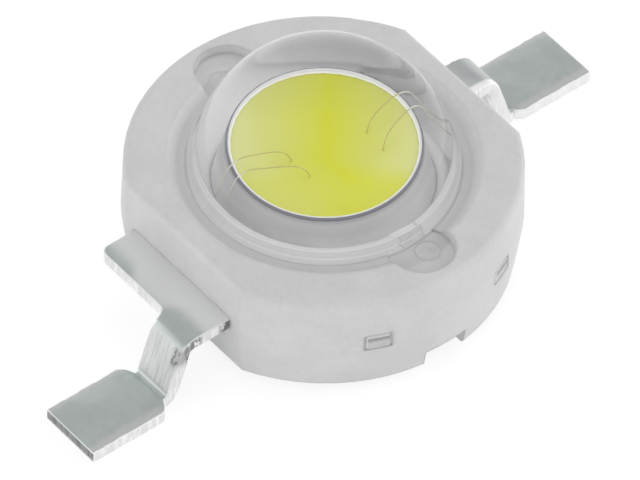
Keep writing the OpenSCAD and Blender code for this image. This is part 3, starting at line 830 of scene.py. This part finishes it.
class POWERLED_OT_wires(bpy.types.Operator):
    """Builds the four bond wires"""
    bl_idname = "powerled.wires"
    bl_label = "Bond wires"

    # On the chip: distance to the contacts, their stagger and half their pitch, and the ball
    contact_x, stagger, half_pitch = 0.56, 0.11, 0.2
    ball_r, ball_half, ball_rise = 0.045, 0.02, 0.016
    # On the pads: distance from the axis, and in degrees the turn on each side and half the turn between
    # two wires
    reach, wide_turn, narrow_turn, fan = 1.74, 158, 2, 4
    # The loop: its top, the radius of its arcs and how far before the pad it starts to fall
    loop_top, loop, fall = 2.87, 0.34, 0.54
    # The pressed end: where along the wire it starts, the share it takes, and how much wider and flatter
    # it is
    pressed_at, pressed_over, widening, flattening = 0.965, 0.02, 1.3, 0.65
    # Heights of the middle line over the chip and the pad, and the pressed tail's height and reach
    clearance, tail_rise, tail_reach = 0.02, 0.012, (0.01, 0.06)

    def execute(self, context):
        scene = context.scene.power_led
        finish = gold(scene.colours)
        for number, (side, row) in enumerate(((-1, -1), (-1, 1), (1, -1), (1, 1)), 1):
            start = np.array([CHIP_X + side * self.contact_x,
                              CHIP_Y - side * self.stagger + row * self.half_pitch])
            turn = math.radians((self.wide_turn if side < 0 else self.narrow_turn) + side * row * self.fan)
            far = self.reach * np.array([math.cos(turn), math.sin(turn)])
            path = self.loop_path(start, far)
            radius = scene.sizes.wire / MM
            flat = np.clip((np.linspace(0, 1, len(path)) - self.pressed_at) / self.pressed_over, 0, 1)
            wire = tube(path, radius * (1 + self.widening * flat), radius * (1 - self.flattening * flat))
            made = sheet(f"bond_loop_{number}", wire * MM, self.ball(start), wrap_v=True)
            place_piece(made, finish, [f"bond_wire_{number}"])
        return {"FINISHED"}

    def ball(self, start):
        """Flattened ball where a wire stands on the chip: an ellipse carried round its upright. One of its
        14 sectors is left open, inside the phosphor."""
        a = np.linspace(-np.pi / 2, np.pi / 2, 15)
        height = CHIP_TOP + self.ball_rise + self.ball_half * np.sin(a)
        ball = turned(np.stack([self.ball_r * np.cos(a), height], -1), 14)
        ball[..., :2] += start * MM
        return ball

    def loop_path(self, start, far):
        """A loop in its own plane: an upright, a quarter arc, a level span, a second arc and a straight
        slope to the pad, smoothed by averaging over a short window."""
        run = math.hypot(*(far - start))
        low, landing = CHIP_TOP + self.clearance, LEAD_TOP + self.clearance
        centre, second = self.loop_top - self.loop, run - self.fall
        slant = math.hypot(self.fall, landing - centre)
        leave = math.atan2(landing - centre, self.fall) + math.acos(self.loop / slant)
        rise = np.stack([np.zeros(14), np.linspace(low, centre, 14)], -1)
        first = arc((self.loop, centre), self.loop, 180, 90, 16)[1:]
        last = arc((second, centre), self.loop, 90, math.degrees(leave), 16)
        t = np.linspace(0, 1, 30)[1:, None]
        slope = last[-1] + t * (np.array([run, landing]) - last[-1])
        tail = np.stack([run + np.linspace(*self.tail_reach, 4), np.full(4, LEAD_TOP + self.tail_rise)], -1)
        flat = np.concatenate([rise, first, last, slope, tail])
        length = np.append(0, np.cumsum(np.linalg.norm(np.diff(flat, axis=0), axis=1)))
        even = np.linspace(0, length[-1], 120)
        flat = np.stack([np.interp(even, length, flat[:, 0]), np.interp(even, length, flat[:, 1])], -1)
        window = np.hanning(11)[1:-1]
        padded = np.pad(flat, ((4, 4), (0, 0)), mode="edge")
        smooth = np.stack([np.convolve(padded[:, i], window / window.sum(), "valid") for i in (0, 1)], -1)
        smooth[:3], smooth[-3:] = flat[:3], flat[-3:]
        way = (far - start) / run
        out, z = smooth[:, 0], smooth[:, 1]
        return np.stack([start[0] + way[0] * out, start[1] + way[1] * out, z], -1)


class POWERLED_OT_dome(bpy.types.Operator):
    """Builds the clear dome with its flange, and the silicone under it"""
    bl_idname = "powerled.dome"
    bl_label = "Dome and silicone"

    # The flange: its rise over the ring, its rounded edge, and the step that it sits on
    flange_rise, flange_edge, seat_gap, seat_top, seat_step = 0.03, 0.05, 0.03, 2.37, 0.01
    # The silicone, how far the clear body reaches round it, and what keeps two faces apart
    gel_r, gel_floor, overlap, hair = 1.9, 1.56, 0.02, 0.001
    # The filling plugs: centre and radius of the hole, radius of the crown, where the tongue to the well
    # starts and ends, the floor and the top of the channel
    hole, hole_r, crown_r = np.array([0.16, -3.08]), 0.262, 0.264
    tongue_out, tongue_in = -2.76, -1.85
    plug_floor, plug_seat = 2.08, 2.295
    # The crown's heights, each at a share of its radius
    crown = ((1, 2.376), (0.9, 2.37), (0.5, 2.36), (0, 2.357))

    def execute(self, context):
        sizes, colours = context.scene.power_led.sizes, context.scene.power_led.colours
        radius, centre = sizes.dome_radius / MM, sizes.dome_centre / MM
        dome = sheet("clear_dome", turned(self.shell(radius, centre, sizes.fillet / MM), sizes.facets),
                     wrap_u=True)
        place_piece(dome, clear("clear_shell", colours.clear, sizes.dome_index), ["lens"])
        inner = radius - sizes.shell / MM
        hollow = np.concatenate([
            arc((0, centre), inner, 90, 0, 80),
            [(inner, SEAT + self.hair), (self.gel_r, SEAT + self.hair), (self.gel_r, self.gel_floor),
             (0, self.gel_floor)]])
        gel = sheet("silicone_body", turned(hollow, sizes.facets), wrap_u=True)
        relative = sizes.gel_index / sizes.dome_index
        place_piece(gel, clear("clear_silicone", colours.clear, relative), ["silicone_fill"])
        milky = cured_silicone(colours)
        for number, side in enumerate((1, -1), 1):
            made = sheet(f"filling_plug_{number}", self.plug() * np.array([side, side, 1]) * MM, wrap_u=True)
            place_piece(made, milky)
        return {"FINISHED"}

    def shell(self, radius, centre, fillet):
        """Profile of the clear body: the dome's arc, a fillet that touches it and the flange, the flange's
        rounded edge, and down round the silicone. Dome and fillet meet on the line of their centres."""
        flange_top = RING_TOP + self.flange_rise
        bend_r = math.sqrt((radius + fillet) ** 2 - (flange_top + fillet - centre) ** 2)
        meet = math.degrees(math.atan2(flange_top + fillet - centre, bend_r))
        edge, under, outer = self.flange_edge, SEAT - self.overlap, FLANGE_R + self.seat_gap
        wall, floor = self.gel_r + self.overlap, self.gel_floor - self.overlap
        return np.concatenate([
            arc((0, centre), radius, 90, meet, 96),
            arc((bend_r, flange_top + fillet), fillet, 180 + meet, 270, 9)[1:],
            arc((FLANGE_R - edge, flange_top - edge), edge, 90, 0, 9),
            [(FLANGE_R, self.seat_top + self.seat_step), (outer, self.seat_top), (outer, under),
             (wall, under), (wall, floor), (0, floor)]])

    def plug(self):
        """Silicone in a filling hole and its channel to the well: the outline is a circle round the hole's
        centre with a straight-sided tongue to the well, and each ring of the grid is the outline at one
        height. The tongue ends under the flange's seat, and the crown in the hole is hollow."""
        a = np.radians(np.linspace(-180, 0, 48))
        round_end = self.hole + self.hole_r * np.stack([np.cos(a), np.sin(a)], -1)
        right, left = self.hole[0] + self.hole_r, self.hole[0] - self.hole_r
        low = np.concatenate([round_end, [(right, self.tongue_out), (right, self.tongue_in),
                                          (left, self.tongue_in), (left, self.tongue_out)]])
        a = np.radians(np.linspace(-180, 180, len(low), endpoint=False))
        crown = self.crown_r * np.stack([np.cos(a), np.sin(a)], -1)
        rings = [(low * 0 + low.mean(0), self.plug_floor), (low, self.plug_floor), (low, self.plug_seat),
                 (self.hole + crown, self.plug_seat + self.hair)]
        rings += [(self.hole + share * crown, z) for share, z in self.crown]
        return np.stack([np.column_stack([ring, z + np.zeros(len(ring))]) for ring, z in rings], 1)


class POWERLED_OT_stage(bpy.types.Operator):
    """Sets the floor, the world, the lamps and the camera"""
    bl_idname = "powerled.stage"
    bl_label = "Studio"

    # Name, azimuth and elevation in degrees, size in metres and power in watts
    lamps = (("side_lamp", -28, 22, 0.16, 0.13), ("fill_lamp", 185, 22, 0.16, 0.09),
             ("top_lamp", 50, 74, 0.1, 0.055))
    lamp_distance = 0.2
    floor_half, floor_drop = 0.6, 0.00001
    # The floor's white as a plain surface, its glow, and the share of the glow that looking rays see
    floor_plain, floor_glow, floor_seen = 0.96, 1.12, 0.72
    # Height of a direction, as Z of a unit vector, from the horizon's light to the sky's
    sky_rise = (0.3, 0.62)

    def execute(self, context):
        scene, stage = context.scene, context.scene.power_led.stage
        scene.view_settings.view_transform = "Standard"
        self.add_floor()
        self.add_world(scene, stage)
        self.add_lamps(scene)
        self.add_camera(scene, stage)
        return {"FINISHED"}

    def add_floor(self):
        """Level pale floor, nearly white to rays that look and plain to rays that light."""
        line = np.linspace(-self.floor_half, self.floor_half, 9)
        x, y = np.meshgrid(line, line, indexing="ij")
        floor = sheet("studio_floor", np.stack([x, y, np.full_like(x, -self.floor_drop)], -1))
        b = new_material("floor_white")
        seen = b.larger(b.ray("Is Camera Ray"), b.ray("Is Glossy Ray"))
        seen = b.larger(seen, b.ray("Is Transmission Ray"))
        plain = b.node("ShaderNodeBsdfDiffuse", None, {"Color": grey(self.floor_plain)})
        white = b.node("ShaderNodeEmission", None, {"Color": grey(1), "Strength": self.floor_glow})
        floor.data.materials.append(b.finish(b.mix(seen * self.floor_seen, plain, white)))

    def add_world(self, scene, stage):
        """White behind the object, with a soft light that is stronger at the horizon than overhead."""
        b = Bench(bpy.data.worlds.new("studio_world"), "ShaderNodeOutputWorld")
        height = b.part(b.node("ShaderNodeTexCoord", output="Generated"), 2)
        light = b.step(height, *self.sky_rise, stage.horizon, stage.sky)
        looks = b.ray("Is Camera Ray")
        strength = light * (1 - looks) + looks
        scene.world = b.finish(b.node("ShaderNodeBackground", None, {
            "Color": grey(1), "Strength": strength}))

    def add_lamps(self, scene):
        """Square soft lamps round the object, each turned to face it."""
        for name, azimuth, elevation, size, power in self.lamps:
            a, e = math.radians(azimuth), math.radians(elevation)
            lamp = bpy.data.lights.new(name, "AREA")
            lamp.shape, lamp.size, lamp.energy = "SQUARE", size, power
            made = bpy.data.objects.new(name, lamp)
            scene.collection.objects.link(made)
            way = (math.cos(e) * math.cos(a), math.cos(e) * math.sin(a), math.sin(e))
            made.location = [self.lamp_distance * part for part in way]
            made.rotation_euler = (math.pi / 2 - e, 0, a + math.pi / 2)
            made.visible_glossy = made.visible_transmission = False

    def add_camera(self, scene, stage):
        """Camera that looks at the target from azimuth, elevation and distance, turned by its roll."""
        a, e, r = stage.azimuth, stage.elevation, stage.roll
        ahead = np.array([-math.sin(a), math.cos(a), 0])
        right = np.array([math.cos(a), math.sin(a), 0])
        forward = ahead * math.cos(e) + np.array([0, 0, -math.sin(e)])
        up = ahead * math.sin(e) + np.array([0, 0, math.cos(e)])
        x = right * math.cos(r) + up * math.sin(r)
        y = up * math.cos(r) - right * math.sin(r)
        eye = np.array(stage.target) - forward * stage.distance
        data = bpy.data.cameras.new("studio_camera")
        data.sensor_fit, data.sensor_width, data.lens = "HORIZONTAL", 36, stage.lens
        data.clip_start, data.clip_end = 0.01, 10
        made = bpy.data.objects.new("studio_camera", data)
        scene.collection.objects.link(made)
        made.matrix_world = Matrix(np.column_stack([[*x, 0], [*y, 0], [*-forward, 0], [*eye, 1]]).tolist())
        scene.camera = made


STEPS = (POWERLED_OT_moulding, POWERLED_OT_slug, POWERLED_OT_leads, POWERLED_OT_chip, POWERLED_OT_wires,
         POWERLED_OT_dome, POWERLED_OT_stage)


class POWERLED_PT_steps(bpy.types.Panel):
    bl_label = "Power LED"
    bl_space_type = "VIEW_3D"
    bl_region_type = "UI"
    bl_category = "Power LED"

    def draw(self, context):
        for step in STEPS:
            self.layout.operator(step.bl_idname)


CLASSES = (PowerLedSizes, PowerLedColours, PowerLedStage, PowerLedSettings, *STEPS, POWERLED_PT_steps)


def register():
    for item in CLASSES:
        bpy.utils.register_class(item)
    bpy.types.Scene.power_led = PointerProperty(type=PowerLedSettings)


def unregister():
    del bpy.types.Scene.power_led
    for item in reversed(CLASSES):
        bpy.utils.unregister_class(item)


def main():
    register()
    for step in STEPS:
        family, name = step.bl_idname.split(".")
        getattr(getattr(bpy.ops, family), name)()


if __name__ == "__main__":
    main()
